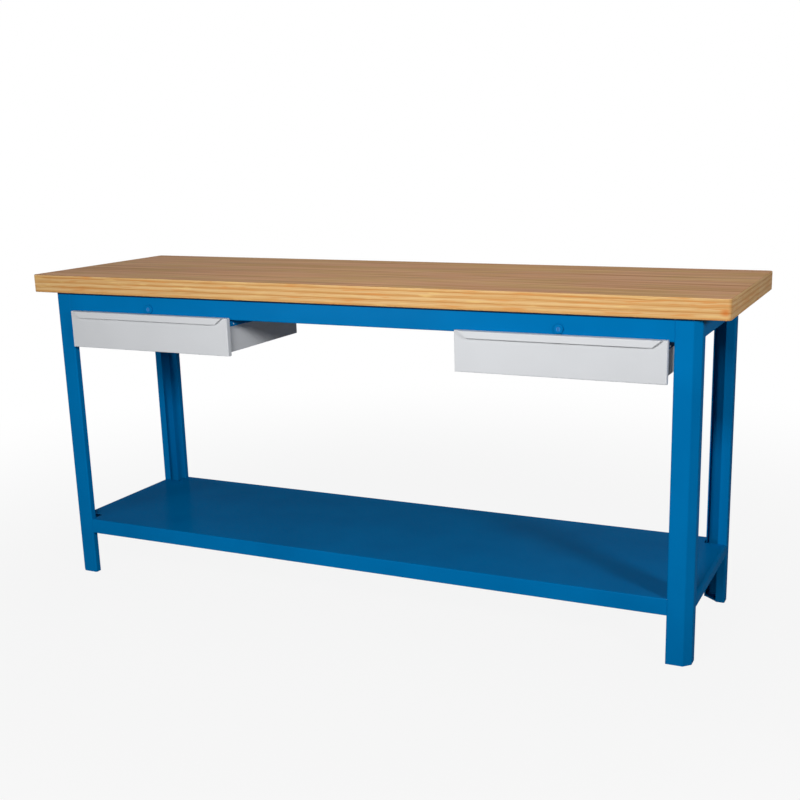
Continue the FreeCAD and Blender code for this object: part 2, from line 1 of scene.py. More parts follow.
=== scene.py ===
"""Looks of the two-drawer workbench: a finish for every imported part, and the marks of its welds.

Lengths in the bench's classes are in millimetres, as on a drawing, and turn to metres where a mesh
or a shader takes them. Places that functions take, and the studio's, are in metres.
"""
import logging
import math
from collections.abc import Callable, Iterator
from contextlib import contextmanager
from dataclasses import dataclass, field
from enum import Enum

import bpy
from mathutils import Matrix, Vector


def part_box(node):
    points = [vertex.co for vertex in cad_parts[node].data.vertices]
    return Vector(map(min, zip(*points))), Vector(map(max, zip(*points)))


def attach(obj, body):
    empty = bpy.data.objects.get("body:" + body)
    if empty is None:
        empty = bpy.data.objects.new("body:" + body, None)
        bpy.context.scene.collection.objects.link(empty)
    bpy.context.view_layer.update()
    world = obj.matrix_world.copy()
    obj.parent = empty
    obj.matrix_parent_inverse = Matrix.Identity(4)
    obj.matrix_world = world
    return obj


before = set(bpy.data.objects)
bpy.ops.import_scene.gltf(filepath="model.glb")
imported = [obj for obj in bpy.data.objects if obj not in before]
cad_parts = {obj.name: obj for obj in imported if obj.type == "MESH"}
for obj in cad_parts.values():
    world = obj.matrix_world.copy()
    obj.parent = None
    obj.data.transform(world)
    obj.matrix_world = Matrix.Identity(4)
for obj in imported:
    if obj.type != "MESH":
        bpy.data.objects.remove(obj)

LOG = logging.getLogger("workbench")
MM = 0.001
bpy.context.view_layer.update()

# Nearly every value of a noise factor lies between these two.
NOISE_RANGE = (0.3, 0.7)

# Short names for the types that recur below.
Tree = bpy.types.NodeTree
Node = bpy.types.Node
Socket = bpy.types.NodeSocket
Material = bpy.types.Material
Piece = bpy.types.Object
Triple = tuple[float, float, float]
Stops = tuple[tuple[float, str], ...]


class Hand(Enum):
    """Which of the two drawers, seen from the front; the value stands in its nodes' names."""

    LEFT = "left"
    RIGHT = "right"


class Body(Enum):
    """The moving bodies that new pieces ride on."""

    FRAME = "frame"
    LEFT_DRAWER = "left_drawer"
    RIGHT_DRAWER = "right_drawer"


# ---- finishes ------------------------------------------------------------------------------------
def linear(colour: str) -> tuple[float, float, float, float]:
    """Turn an sRGB hex colour to the linear values that a shader takes.

    Args:
        colour: Six hex digits after a hash sign.

    Returns:
        Linear red, green and blue, with an alpha of one.
    """
    shares = [int(colour[i:i + 2], 16) / 255 for i in (1, 3, 5)]
    values = [s / 12.92 if s <= 0.04045 else ((s + 0.055) / 1.055) ** 2.4 for s in shares]
    return values[0], values[1], values[2], 1.0


def add_node(tree: Tree, kind: str, settings: dict | None = None, values: dict | None = None,
             links: dict | None = None) -> Node:
    """Add one shader node.

    Args:
        tree: The material's node tree.
        kind: The node's type name.
        settings: The node's own properties.
        values: Values of input sockets, by name or place.
        links: Output sockets that feed input sockets, by name or place.

    Returns:
        The new node.
    """
    node = tree.nodes.new(kind)
    for name, value in (settings or {}).items():
        setattr(node, name, value)
    for name, value in (values or {}).items():
        node.inputs[name].default_value = value
    for name, socket in (links or {}).items():
        tree.links.new(socket, node.inputs[name])
    return node


def new_material(name: str) -> tuple[Material, Tree, Node]:
    """Start a material.

    Args:
        name: The finish's name.

    Returns:
        The material, its node tree and its Principled shader.
    """
    material = bpy.data.materials.new(name)
    material.use_nodes = True
    tree = material.node_tree
    tree.nodes.clear()
    shader = add_node(tree, "ShaderNodeBsdfPrincipled")
    add_node(tree, "ShaderNodeOutputMaterial", links={"Surface": shader.outputs["BSDF"]})
    return material, tree, shader


def even(size: float) -> Triple:
    """Return one size for all three axes."""
    return size, size, size


def stretched_place(tree: Tree, sizes: Triple) -> Socket:
    """Return object coordinates in which one unit is the given number of millimetres on each axis.

    Args:
        tree: The material's node tree.
        sizes: Millimetres for one unit along X, Y and Z.

    Returns:
        The socket with the scaled place.
    """
    place = add_node(tree, "ShaderNodeTexCoord")
    scale = tuple(1.0 / (size * MM) for size in sizes)
    mapping = add_node(tree, "ShaderNodeMapping", values={"Scale": scale},
                       links={"Vector": place.outputs["Object"]})
    return mapping.outputs["Vector"]


def height_in_mm(tree: Tree) -> Socket:
    """Return the height above the floor in millimetres."""
    place = stretched_place(tree, even(1.0))
    return add_node(tree, "ShaderNodeSeparateXYZ", links={"Vector": place}).outputs["Z"]


def noise(tree: Tree, sizes: Triple, detail: float = 2.0) -> Socket:
    """Return a noise factor whose blotches have the given size in millimetres along each axis.

    Args:
        tree: The material's node tree.
        sizes: Blotch size along X, Y and Z.
        detail: Octaves of finer noise.

    Returns:
        The socket with the factor.
    """
    node = add_node(tree, "ShaderNodeTexNoise", values={"Scale": 1.0, "Detail": detail},
                    links={"Vector": stretched_place(tree, sizes)})
    return node.outputs["Fac"]


def ramp(tree: Tree, factor: Socket, stops: Stops) -> Socket:
    """Return the colour of a factor between sRGB stops.

    Args:
        tree: The material's node tree.
        factor: The socket that picks the colour.
        stops: Positions with their hex colours, in rising order.

    Returns:
        The colour socket.
    """
    node = add_node(tree, "ShaderNodeValToRGB", links={"Fac": factor})
    elements = node.color_ramp.elements
    while len(elements) < len(stops):
        elements.new(0.5)
    for element, (position, colour) in zip(elements, stops):
        element.position = position
        element.color = linear(colour)
    return node.outputs["Color"]


def mixed(tree: Tree, factor: Socket | float, first: Socket, second: Socket,
          blend: str = "MIX") -> Socket:
    """Return two colours mixed by a factor.

    Args:
        tree: The material's node tree.
        factor: A socket or a number.
        first: The colour at a factor of zero.
        second: The colour at a factor of one.
        blend: The Mix node's blend type.

    Returns:
        The mixed colour socket.
    """
    node = add_node(tree, "ShaderNodeMix", settings={"data_type": "RGBA", "blend_type": blend})
    colour_inputs = [socket for socket in node.inputs if socket.type == "RGBA"]
    tree.links.new(first, colour_inputs[0])
    tree.links.new(second, colour_inputs[1])
    if isinstance(factor, float):
        node.inputs[0].default_value = factor
    else:
        tree.links.new(factor, node.inputs[0])
    return next(socket for socket in node.outputs if socket.type == "RGBA")


def maths(tree: Tree, operation: str, first: Socket, second: Socket | float = 0.0) -> Socket:
    """Return the result of a Math node.

    Args:
        tree: The material's node tree.
        operation: The node's operation.
        first: Its first value.
        second: Its second value, which sums on one value leave out.

    Returns:
        The result's socket.
    """
    node = add_node(tree, "ShaderNodeMath", settings={"operation": operation}, links={0: first})
    if isinstance(second, float):
        node.inputs[1].default_value = second
    else:
        tree.links.new(second, node.inputs[1])
    return node.outputs[0]


def vector_maths(tree: Tree, operation: str, first: Socket, second: Triple = (0, 0, 0)) -> Node:
    """Add a Vector Math node.

    Args:
        tree: The material's node tree.
        operation: The node's operation.
        first: Its first vector.
        second: Its second vector, which sums on one vector leave out.

    Returns:
        The node.
    """
    return add_node(tree, "ShaderNodeVectorMath", settings={"operation": operation},
                    values={1: second}, links={0: first})


def measured(tree: Tree, value: Socket, low: float, high: float, to_low: float = 0.0,
             to_high: float = 1.0) -> Socket:
    """Return a value mapped smoothly from one range to another.

    Args:
        tree: The material's node tree.
        value: The socket to map.
        low: The value that becomes to_low.
        high: The value that becomes to_high.
        to_low: Result at low.
        to_high: Result at high.

    Returns:
        The mapped socket.
    """
    limits = {"From Min": low, "From Max": high, "To Min": to_low, "To Max": to_high}
    node = add_node(tree, "ShaderNodeMapRange", settings={"interpolation_type": "SMOOTHSTEP"},
                    values=limits, links={"Value": value})
    return node.outputs["Result"]


def bump(tree: Tree, shader: Node, height: Socket, depth: float, strength: float = 1.0) -> None:
    """Raise the shader's surface by a height factor.

    Args:
        tree: The material's node tree.
        shader: The Principled shader.
        height: The height factor, from zero to one.
        depth: Height of one unit in millimetres.
        strength: Share of the effect.
    """
    node = add_node(tree, "ShaderNodeBump", values={"Strength": strength, "Distance": depth * MM},
                    links={"Height": height})
    tree.links.new(node.outputs["Normal"], shader.inputs["Normal"])


@dataclass(frozen=True)
class PowderCoat:
    """Polyester powder baked on sheet steel: an even skin with orange peel and a soft gloss."""

    # Powder melts and flows in the oven, so the eye sees one even colour, broken only by orange
    # peel a few millimetres across and by the slow drift of the coat's thickness along a sheet.
    # Polyester has an IOR of 1.5; the matting in it scatters most of the mirror share, which
    # leaves a dull base under a very thin clear skin. Along the top of the paint, just under the
    # board, a dark blue band is painted shadow: the shade that the board's edge throws on the
    # rail. A coat with no top height for it has none.
    name: str
    colour: str
    deep_colour: str
    roughness: float
    specular: float
    skin: float
    skin_roughness: float = 0.22
    ior: float = 1.5
    cloud: float = 160.0
    cloud_range: tuple[float, float] = (0.35, 0.75)
    rub: float = 24.0
    rub_gloss: tuple[float, float] = (-0.03, 0.04)
    peel: float = 2.4
    peel_depth: float = 0.006
    # Painted shadow under the board: its top height, depth, fade, share, blotches and dark tones.
    painted_shadow_top: float = 0.0
    painted_shadow_height: float = 4.4
    painted_shadow_fade: tuple[float, float] = (-0.5, 0.7)
    painted_shadow_share: float = 0.92
    painted_shadow_blotch: Triple = (30.0, 30.0, 2.0)
    painted_shadow_tones: Stops = ((0.3, "#04142A"), (0.7, "#0A2440"))

    def make(self) -> Material:
        """Return the material."""
        material, tree, shader = new_material(self.name)
        clear, deep = self.cloud_range
        tint = ramp(tree, noise(tree, even(self.cloud)),
                    ((clear, self.colour), (deep, self.deep_colour)))
        shown = self.with_painted_shadow(tree, tint) if self.painted_shadow_top else tint
        tree.links.new(shown, shader.inputs["Base Color"])
        glossy, dull = (self.roughness + change for change in self.rub_gloss)
        rub = noise(tree, even(self.rub), detail=4.0)
        gloss = measured(tree, rub, *NOISE_RANGE, glossy, dull)
        tree.links.new(gloss, shader.inputs["Roughness"])
        shader.inputs["IOR"].default_value = self.ior
        shader.inputs["Specular IOR Level"].default_value = self.specular
        shader.inputs["Coat Weight"].default_value = self.skin
        shader.inputs["Coat Roughness"].default_value = self.skin_roughness
        bump(tree, shader, noise(tree, even(self.peel)), self.peel_depth)
        return material

    def with_painted_shadow(self, tree: Tree, tint: Socket) -> Socket:
        """Return the paint's colour with a painted shadow along its top, where the board shades it.

        Args:
            tree: The material's node tree.
            tint: The paint's colour without the painted shadow.

        Returns:
            The colour socket.
        """
        # Painted shadow: the paint darkens smoothly to a dark blue over the top few millimetres.
        shade_start, shade_full = (self.painted_shadow_top - self.painted_shadow_height + fade for fade in self.painted_shadow_fade)
        share = measured(tree, height_in_mm(tree), shade_start, shade_full, 0.0, self.painted_shadow_share)
        shadow_colour = ramp(tree, noise(tree, self.painted_shadow_blotch), self.painted_shadow_tones)
        return mixed(tree, share, tint, shadow_colour)


@dataclass(frozen=True)
class OiledMultiplex:
    """Beech multiplex: oiled brown face veneer above, light streaked plies round the edges."""

    # The board is pressed from peeled veneers 1.8 mm thick. The cut edge shows them as pale and
    # warm lines, which the eye gathers into bands of about seven plies, with long streaks where a
    # cut runs along the fibre, orange patches of heartwood and one amber knot near a corner. The
    # face has the long lazy grain of a peeled sheet. Beech's ray flecks are about 0.5 x 3 mm; they
    # are drawn 1.1 x 9 mm, because finer ones would not show. Oil sinks in, so gloss is low.
    name: str = "oiled_beech_multiplex"
    ior: float = 1.45
    specular: float = 0.02
    roughness: tuple[float, float] = (0.42, 0.56)
    fibre: Triple = (60.0, 1.4, 1.4)
    fibre_depth: float = 0.05
    fibre_strength: float = 0.6
    upright_range: tuple[float, float] = (0.45, 0.8)
    ply: float = 1.8
    ply_share: float = 0.5
    band: float = 12.6
    wave: float = 1.6
    wave_length: float = 260.0
    streak: Triple = (110.0, 110.0, 2.4)
    streak_share: float = 0.7
    patch: Triple = (80.0, 80.0, 5.0)
    heart_range: tuple[float, float, float, float] = (0.54, 0.70, 0.0, 0.65)
    pale_range: tuple[float, float, float, float] = (0.40, 0.28, 0.0, 0.45)
    knot_place: Triple = (988.0, -299.0, 868.0)
    knot_size: Triple = (17.0, 17.0, 11.0)
    knot_range: tuple[float, float, float, float] = (1.2, 0.3, 0.0, 0.85)
    grain: Triple = (420.0, 10.0, 200.0)
    rub: Triple = (420.0, 10.0, 40.0)
    tone: Triple = (240.0, 70.0, 200.0)
    tone_range: tuple[float, float] = (0.38, 0.62)
    fleck: Triple = (9.0, 1.1, 50.0)
    fleck_range: tuple[float, float, float, float] = (0.62, 0.75, 0.0, 0.28)
    band_tones: Stops = ((0.0, "#D9B178"), (0.20, "#DDBA85"), (0.45, "#DFBF8D"),
                         (0.66, "#DAB47D"), (0.84, "#D2A56C"), (1.0, "#DAB27A"))
    ply_tones: Stops = ((0.0, "#D9B68A"), (0.5, "#F4E6D2"), (1.0, "#FFFFFF"))
    streak_tones: Stops = ((0.30, "#E6CDAC"), (0.50, "#F8F1E7"), (0.70, "#FFFFFF"))
    heart_tones: Stops = ((0.0, "#C98444"), (1.0, "#D28E4C"))
    pale_tones: Stops = ((0.0, "#EBCB86"), (1.0, "#E2BE78"))
    knot_tones: Stops = ((0.0, "#BE571A"), (1.0, "#D2803A"))
    warm_tones: Stops = ((0.30, "#926641"), (0.50, "#AC7E57"), (0.70, "#BF936B"))
    olive_tones: Stops = ((0.30, "#8E683D"), (0.50, "#A67F4E"), (0.70, "#BA9563"))
    fleck_tones: Stops = ((0.0, "#7E5732"), (1.0, "#7E5732"))

    def make(self) -> Material:
        """Return the material."""
        material, tree, shader = new_material(self.name)
        normal = add_node(tree, "ShaderNodeNewGeometry").outputs["Normal"]
        upright = add_node(tree, "ShaderNodeSeparateXYZ", links={"Vector": normal}).outputs["Z"]
        share = measured(tree, maths(tree, "ABSOLUTE", upright), *self.upright_range)
        colour = mixed(tree, share, self.edge_colour(tree), self.face_colour(tree))
        tree.links.new(colour, shader.inputs["Base Color"])
        gloss = measured(tree, noise(tree, self.rub), *NOISE_RANGE, *self.roughness)
        tree.links.new(gloss, shader.inputs["Roughness"])
        shader.inputs["IOR"].default_value = self.ior
        shader.inputs["Specular IOR Level"].default_value = self.specular
        fibres = noise(tree, self.fibre, detail=3.0)
        bump(tree, shader, fibres, self.fibre_depth, self.fibre_strength)
        return material

    def edge_colour(self, tree: Tree) -> Socket:
        """Return the colour of the plies' cut edges.

        Args:
            tree: The material's node tree.

        Returns:
            The colour socket.
        """
        height = self.wavy_height(tree)
        band = maths(tree, "FRACT", maths(tree, "DIVIDE", height, self.band))
        number = maths(tree, "FLOOR", maths(tree, "DIVIDE", height, self.ply))
        tone = add_node(tree, "ShaderNodeTexWhiteNoise", settings={"noise_dimensions": "1D"},
                        links={"W": number}).outputs["Value"]
        layered = mixed(tree, self.ply_share, ramp(tree, band, self.band_tones),
                        ramp(tree, tone, self.ply_tones), "MULTIPLY")
        streaks = ramp(tree, noise(tree, self.streak, detail=3.0), self.streak_tones)
        grained = mixed(tree, self.streak_share, layered, streaks, "MULTIPLY")
        patches = noise(tree, self.patch)
        heart = mixed(tree, measured(tree, patches, *self.heart_range), grained,
                      ramp(tree, patches, self.heart_tones))
        wood = mixed(tree, measured(tree, patches, *self.pale_range), heart,
                     ramp(tree, patches, self.pale_tones))
        return self.knotted(tree, wood)

    def knotted(self, tree: Tree, wood: Socket) -> Socket:
        """Return the edge's colour with one small amber knot near the right front corner.

        Args:
            tree: The material's node tree.
            wood: The colour without the knot.

        Returns:
            The colour socket.
        """
        place = stretched_place(tree, even(1.0))
        offset = vector_maths(tree, "SUBTRACT", place, self.knot_place).outputs["Vector"]
        scaled = vector_maths(tree, "DIVIDE", offset, self.knot_size).outputs["Vector"]
        away = vector_maths(tree, "LENGTH", scaled).outputs["Value"]
        amber = ramp(tree, away, self.knot_tones)
        return mixed(tree, measured(tree, away, *self.knot_range), wood, amber)

    def wavy_height(self, tree: Tree) -> Socket:
        """Return the height in millimetres, slightly wavy as pressed veneers are.

        Args:
            tree: The material's node tree.

        Returns:
            The height's socket.
        """
        swell = noise(tree, even(self.wave_length))
        wave = measured(tree, swell, 0.0, 1.0, -self.wave, self.wave)
        return maths(tree, "ADD", height_in_mm(tree), wave)

    def face_colour(self, tree: Tree) -> Socket:
        """Return the colour of the face veneer, with long grain and the short flecks of beech.

        Args:
            tree: The material's node tree.

        Returns:
            The colour socket.
        """
        grain = noise(tree, self.grain, detail=5.0)
        tone = measured(tree, noise(tree, self.tone, detail=3.0), *self.tone_range)
        wood = mixed(tree, tone, ramp(tree, grain, self.warm_tones),
                     ramp(tree, grain, self.olive_tones))
        flecks = noise(tree, self.fleck, detail=1.0)
        return mixed(tree, measured(tree, flecks, *self.fleck_range), wood,
                     ramp(tree, flecks, self.fleck_tones))


@dataclass(frozen=True)
class PlatedSteel:
    """Electroplated steel: a metal skin with faint drawing lines and cloudy patches."""

    # The plating follows the steel under it, so the lines left by rolling and drawing, under a
    # millimetre apart, stay as a faint brush across the light. Cloudy patches about 20 mm across
    # come from the passivating bath.
    name: str
    colour: str
    worn_colour: str
    roughness: float = 0.34
    cloud: float = 18.0
    cloud_range: tuple[float, float] = (0.35, 0.70)
    cloud_gloss: tuple[float, float] = (-0.05, 0.08)
    line: Triple = (0.8, 40.0, 0.8)
    line_depth: float = 0.008

    def make(self) -> Material:
        """Return the material."""
        material, tree, shader = new_material(self.name)
        clouds = noise(tree, even(self.cloud), detail=3.0)
        bright, worn = self.cloud_range
        tint = ramp(tree, clouds, ((bright, self.colour), (worn, self.worn_colour)))
        tree.links.new(tint, shader.inputs["Base Color"])
        shader.inputs["Metallic"].default_value = 1.0
        glossy, dull = (self.roughness + change for change in self.cloud_gloss)
        gloss = measured(tree, clouds, *NOISE_RANGE, glossy, dull)
        tree.links.new(gloss, shader.inputs["Roughness"])
        bump(tree, shader, noise(tree, self.line), self.line_depth)
        return material


@dataclass(frozen=True)
class MouldedNylon:
    """Injection-moulded polyamide: off-white, slightly waxy, with a fine moulded grain."""

    # Natural polyamide is creamy and half matt. Its IOR is 1.53, and the mould's spark-eroded face
    # leaves a grain of half a millimetre.
    name: str = "moulded_nylon"
    tones: Stops = ((0.3, "#E4E1D6"), (0.8, "#D6D2C4"))
    cloud: float = 6.0
    roughness: float = 0.42
    ior: float = 1.53
    grain: float = 0.5
    grain_depth: float = 0.01

    def make(self) -> Material:
        """Return the material."""
        material, tree, shader = new_material(self.name)
        tint = ramp(tree, noise(tree, even(self.cloud)), self.tones)
        tree.links.new(tint, shader.inputs["Base Color"])
        shader.inputs["Roughness"].default_value = self.roughness
        shader.inputs["IOR"].default_value = self.ior
        bump(tree, shader, noise(tree, even(self.grain)), self.grain_depth)
        return material


# ---- modelling helpers ---------------------------------------------------------------------------
def deselect_all() -> None:
    """Leave no object selected."""
    for item in bpy.context.selected_objects:
        item.select_set(False)


def pick_only(piece: Piece) -> None:
    """Select one piece alone and make it the active one."""
    deselect_all()
    piece.select_set(True)
    bpy.context.view_layer.objects.active = piece


@contextmanager
def editing(piece: Piece) -> Iterator[None]:
    """Work on one piece in edit mode, starting with nothing selected in its mesh.

    Args:
        piece: The mesh object to edit.

    Yields:
        Nothing; edit mode ends with the block.
    """
    pick_only(piece)
    bpy.ops.object.mode_set(mode="EDIT")
    bpy.ops.mesh.select_all(action="DESELECT")
    yield
    bpy.ops.object.mode_set(mode="OBJECT")


def pick_faces(piece: Piece, test: Callable[[bpy.types.MeshPolygon], bool]) -> None:
    """Select the faces of the piece in edit mode that pass a test.

    Args:
        piece: The piece in edit mode.
        test: Tells whether a face is taken.
    """
    bpy.ops.object.mode_set(mode="OBJECT")
    for face in piece.data.polygons:
        face.select = test(face)
    bpy.ops.object.mode_set(mode="EDIT")
    bpy.ops.mesh.select_mode(type="FACE")


def pick_points(piece: Piece, test: Callable[[Vector], bool]) -> None:
    """Select the vertices of the piece in edit mode whose place passes a test.

    Args:
        piece: The piece in edit mode.
        test: Tells whether a place is taken.
    """
    bpy.ops.mesh.select_mode(type="VERT")
    bpy.ops.mesh.select_all(action="DESELECT")
    bpy.ops.object.mode_set(mode="OBJECT")
    for point in piece.data.vertices:
        point.select = test(point.co)
    bpy.ops.object.mode_set(mode="EDIT")


def named_active(name: str) -> Piece:
    """Name the active object and return it with its place moved into its mesh."""
    piece = bpy.context.active_object
    piece.name = name
    piece.data.name = name
    settle(piece)
    return piece


def settle(piece: Piece) -> None:
    """Put a piece's place, turn and size into its mesh."""
    pick_only(piece)
    bpy.ops.object.transform_apply(location=True, rotation=True, scale=True)


def joined(name: str, pieces: list[Piece]) -> Piece:
    """Join pieces into one object.

    Args:
        name: Name of the result.
        pieces: Mesh objects, all settled.

    Returns:
        The joined object.
    """
    deselect_all()
    for piece in pieces:
        piece.select_set(True)
    bpy.context.view_layer.objects.active = pieces[0]
    bpy.ops.object.join()
    return named_active(name)


def smooth(piece: Piece, angle: float) -> None:
    """Shade a piece smooth where its faces meet at less than an angle in degrees."""
    pick_only(piece)
    bpy.ops.object.shade_smooth_by_angle(angle=math.radians(angle))


def copied(piece: Piece, shift: Vector, turn: Matrix | None = None) -> Piece:
    """Copy a piece with its own mesh.

    Args:
        piece: The piece modelled at the origin.
        shift: Where the copy's origin goes, in metres.
        turn: A turn about the origin before the shift.

    Returns:
        The copy.
    """
    copy = piece.copy()
    copy.data = piece.data.copy()
    bpy.context.scene.collection.objects.link(copy)
    place = Matrix.Translation(shift)
    copy.data.transform(place @ turn.to_4x4() if turn else place)
    return copy


def turn_to(axis: Vector) -> Matrix:
    """Return the turn that takes +Z to an axis."""
    return Vector((0, 0, 1)).rotation_difference(axis).to_matrix()


def repeated(name: str, pattern: Piece, places: list[Vector], turn: Matrix | None = None) -> Piece:
    """Copy a pattern to several places and join the copies.

    Args:
        name: Name of the joined piece.
        pattern: The piece modelled at the origin, removed afterwards.
        places: Where each copy's origin goes, in metres.
        turn: A turn of each copy.

    Returns:
        The joined piece.
    """
    copies = [copied(pattern, place, turn) for place in places]
    bpy.data.objects.remove(pattern)
    return joined(name, copies)


def finish_piece(piece: Piece, body: Body, material: Material) -> None:
    """Dress a new piece and let it ride on its body.

    Args:
        piece: The finished mesh object.
        body: The body that it moves with.
        material: Its finish.
    """
    piece.data.materials.clear()
    piece.data.materials.append(material)
    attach(piece, body.value)
    LOG.info("%s: %d faces on %s", piece.name, len(piece.data.polygons), body.value)


def dress(names: list[str], material: Material) -> None:
    """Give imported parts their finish.

    Args:
        names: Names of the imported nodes.
        material: The finish.
    """
    for name in names:
        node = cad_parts[name]
        node.data.materials.clear()
        node.data.materials.append(material)
    LOG.info("%s on %s", material.name, ", ".join(names))


# ---- sub-assemblies ------------------------------------------------------------------------------
@dataclass
class Finishes:
    """All materials of the bench."""

    blue: Material
    grey: Material
    wood: Material
    zinc: Material
    nickel: Material
    nylon: Material

    @classmethod
    def mixed_for_bench(cls) -> "Finishes":
        """Make the bench's six finishes."""
        return cls(
            # The blue paint gets a painted shadow band just below 850 mm, where the board shades
            # the rails.
            blue=PowderCoat("gentian_blue_powder_coat", "#006EAC", "#0068A4", roughness=0.42,
                            specular=0.0, skin=0.025, painted_shadow_top=850.0).make(),
            grey=PowderCoat("light_grey_powder_coat", "#CDCFD2", "#C9CBCE", roughness=0.46,
                            specular=0.02, skin=0.03).make(),
            wood=OiledMultiplex().make(),
            zinc=PlatedSteel("zinc_plated_steel", "#B9BDC2", "#9FA4AB").make(),
            nickel=PlatedSteel("dull_plated_casting", "#2E6CA6", "#245C92").make(),
            nylon=MouldedNylon().make())


@dataclass
class WeldBead:
    """A fillet weld's bead: a rod with a ripple for each pulse of the arc."""

    radius: float = 2.2
    ripple: float = 3.2
    swell: float = 1.16
    sides: int = 8
    smooth_angle: float = 60.0

    def between(self, name: str, start: Vector, end: Vector) -> Piece:
        """Model a bead along a seam.

        Args:
            name: Name of the piece.
            start: One end of the seam, in metres.
            end: The other end.

        Returns:
            The bead, settled in place.
        """
        run = end - start
        ripples = max(2, round(run.length / (self.ripple * MM)))
        bpy.ops.mesh.primitive_cylinder_add(vertices=self.sides, radius=self.radius * MM,
                                            depth=run.length)
        bead = named_active(name)
        half = run.length / 2
        with editing(bead):
            bpy.ops.mesh.select_mode(type="EDGE")
            self.pick_long_edges(bead, half)
            bpy.ops.mesh.subdivide(number_cuts=2 * ripples - 1)
            step = half / ripples
            pick_points(bead, lambda place: round((place.z + half) / step) % 2 == 1)
            bpy.ops.transform.resize(value=(self.swell, self.swell, 1.0))
        middle = Matrix.Translation((start + end) / 2)
        bead.data.transform(middle @ turn_to(run.normalized()).to_4x4())
        smooth(bead, self.smooth_angle)
        return bead

    @staticmethod
    def pick_long_edges(bead: Piece, half: float) -> None:
        """Select the edges that run from one end of the rod to the other.

        Args:
            bead: The rod in edit mode.
            half: Half of its length, in metres.
        """
        bpy.ops.mesh.select_all(action="DESELECT")
        bpy.ops.object.mode_set(mode="OBJECT")
        points = bead.data.vertices
        for edge in bead.data.edges:
            low, high = (points[i].co.z for i in edge.vertices)
            edge.select = abs(low - high) > half
        bpy.ops.object.mode_set(mode="EDIT")


@dataclass
class SpotWeld:
    """The low dished mark that a spot weld leaves on a sheet."""

    diameter: float
    depth: float
    rim_share: float = 0.2
    wall_share: float = 0.1
    dish_share: float = 0.6
    sides: int = 16
    smooth_angle: float = 50.0

    def model(self) -> Piece:
        """Model one mark at the origin, flat side up."""
        bpy.ops.mesh.primitive_cylinder_add(vertices=self.sides, radius=self.diameter / 2 * MM,
                                            depth=self.depth * MM)
        mark = named_active("spot_weld")
        with editing(mark):
            pick_faces(mark, lambda face: round(face.normal.z) == -1)
            bpy.ops.mesh.inset(thickness=self.diameter * self.rim_share * MM)
            bpy.ops.mesh.inset(thickness=self.diameter * self.wall_share * MM)
            bpy.ops.transform.translate(value=(0, 0, self.depth * self.dish_share * MM))
        smooth(mark, self.smooth_angle)
        return mark


@dataclass
class Worktop:
    """The multiplex board."""

    node: str = "worktop"

    def build(self, finishes: Finishes) -> None:
        """Dress the board."""
        dress([self.node], finishes.wood)


@dataclass
class SteelFrame:
    """Legs, rails and foot plates, with the welds that join them."""

    rail_sheet: float = 2.0
    seam_end: float = 3.0
    face_gap: float = 0.5
    end_gap: float = 0.6
    foot_inset: float = 1.2
    foot_rise: float = 0.8
    foot_chamfer_share: float = 0.32
    foot_margin_share: float = 0.08
    bead: WeldBead = field(default_factory=WeldBead)

    def build(self, finishes: Finishes) -> None:
        """Dress the frame and add its welds."""
        corners = [f"{end}_{side}" for end in ("front", "rear") for side in ("left", "right")]
        names = [corner + part for part in ("_leg", "_foot_plate") for corner in corners]
        names += ["front_rail", "rear_rail", "left_end_rail", "right_end_rail"]
        dress(names, finishes.blue)
        beads = self.rail_welds() + self.end_rail_welds() + self.foot_welds()
        finish_piece(joined("frame_welds", beads), Body.FRAME, finishes.blue)

    def upright_bead(self, name: str, x: float, y: float, low: float, high: float) -> Piece:
        """Model a bead up a seam between two heights, less the seam's bare ends.

        Args:
            name: Name of the piece.
            x: Where the seam stands.
            y: Where the seam stands.
            low: Height of the joint's lower edge.
            high: Height of its upper edge.

        Returns:
            The bead.
        """
        start = Vector((x, y, low + self.seam_end * MM))
        return self.bead.between(name, start, Vector((x, y, high - self.seam_end * MM)))

    def rail_welds(self) -> list[Piece]:
        """Return the beads inside the corners where the long rails meet the legs."""
        beads = []
        for rail, inward in (("front_rail", 1), ("rear_rail", -1)):
            low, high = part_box(rail)
            face = low.y if inward > 0 else high.y
            y = face + inward * (self.rail_sheet + self.face_gap) * MM
            for side, end in ((1, low.x), (-1, high.x)):
                x = end + side * self.end_gap * MM
                beads.append(self.upright_bead("rail_weld", x, y, low.z, high.z))
        return beads

    def end_rail_welds(self) -> list[Piece]:
        """Return the upright beads outside the corners where the end rails meet the legs."""
        beads = []
        gap = self.end_gap * MM
        for rail, outward in (("left_end_rail", -1), ("right_end_rail", 1)):
            low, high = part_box(rail)
            x = (low.x if outward < 0 else high.x) + outward * gap
            beads += [self.upright_bead("end_rail_weld", x, y, low.z, high.z)
                      for y in (low.y + gap, high.y - gap)]
        return beads

    def foot_welds(self) -> list[Piece]:
        """Return a bead along each foot plate's straight front or rear edge."""
        beads = []
        for end, inward in (("front", 1), ("rear", -1)):
            for side in ("left", "right"):
                low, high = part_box(f"{end}_{side}_foot_plate")
                y = (low.y if inward > 0 else high.y) + inward * self.foot_inset * MM
                z = high.z + self.foot_rise * MM
                near, far = (low.x, high.x) if side == "left" else (high.x, low.x)
                start = Vector((near + (far - near) * self.foot_chamfer_share, y, z))
                stop = Vector((far - (far - near) * self.foot_margin_share, y, z))
                beads.append(self.bead.between("foot_weld", start, stop))
        return beads


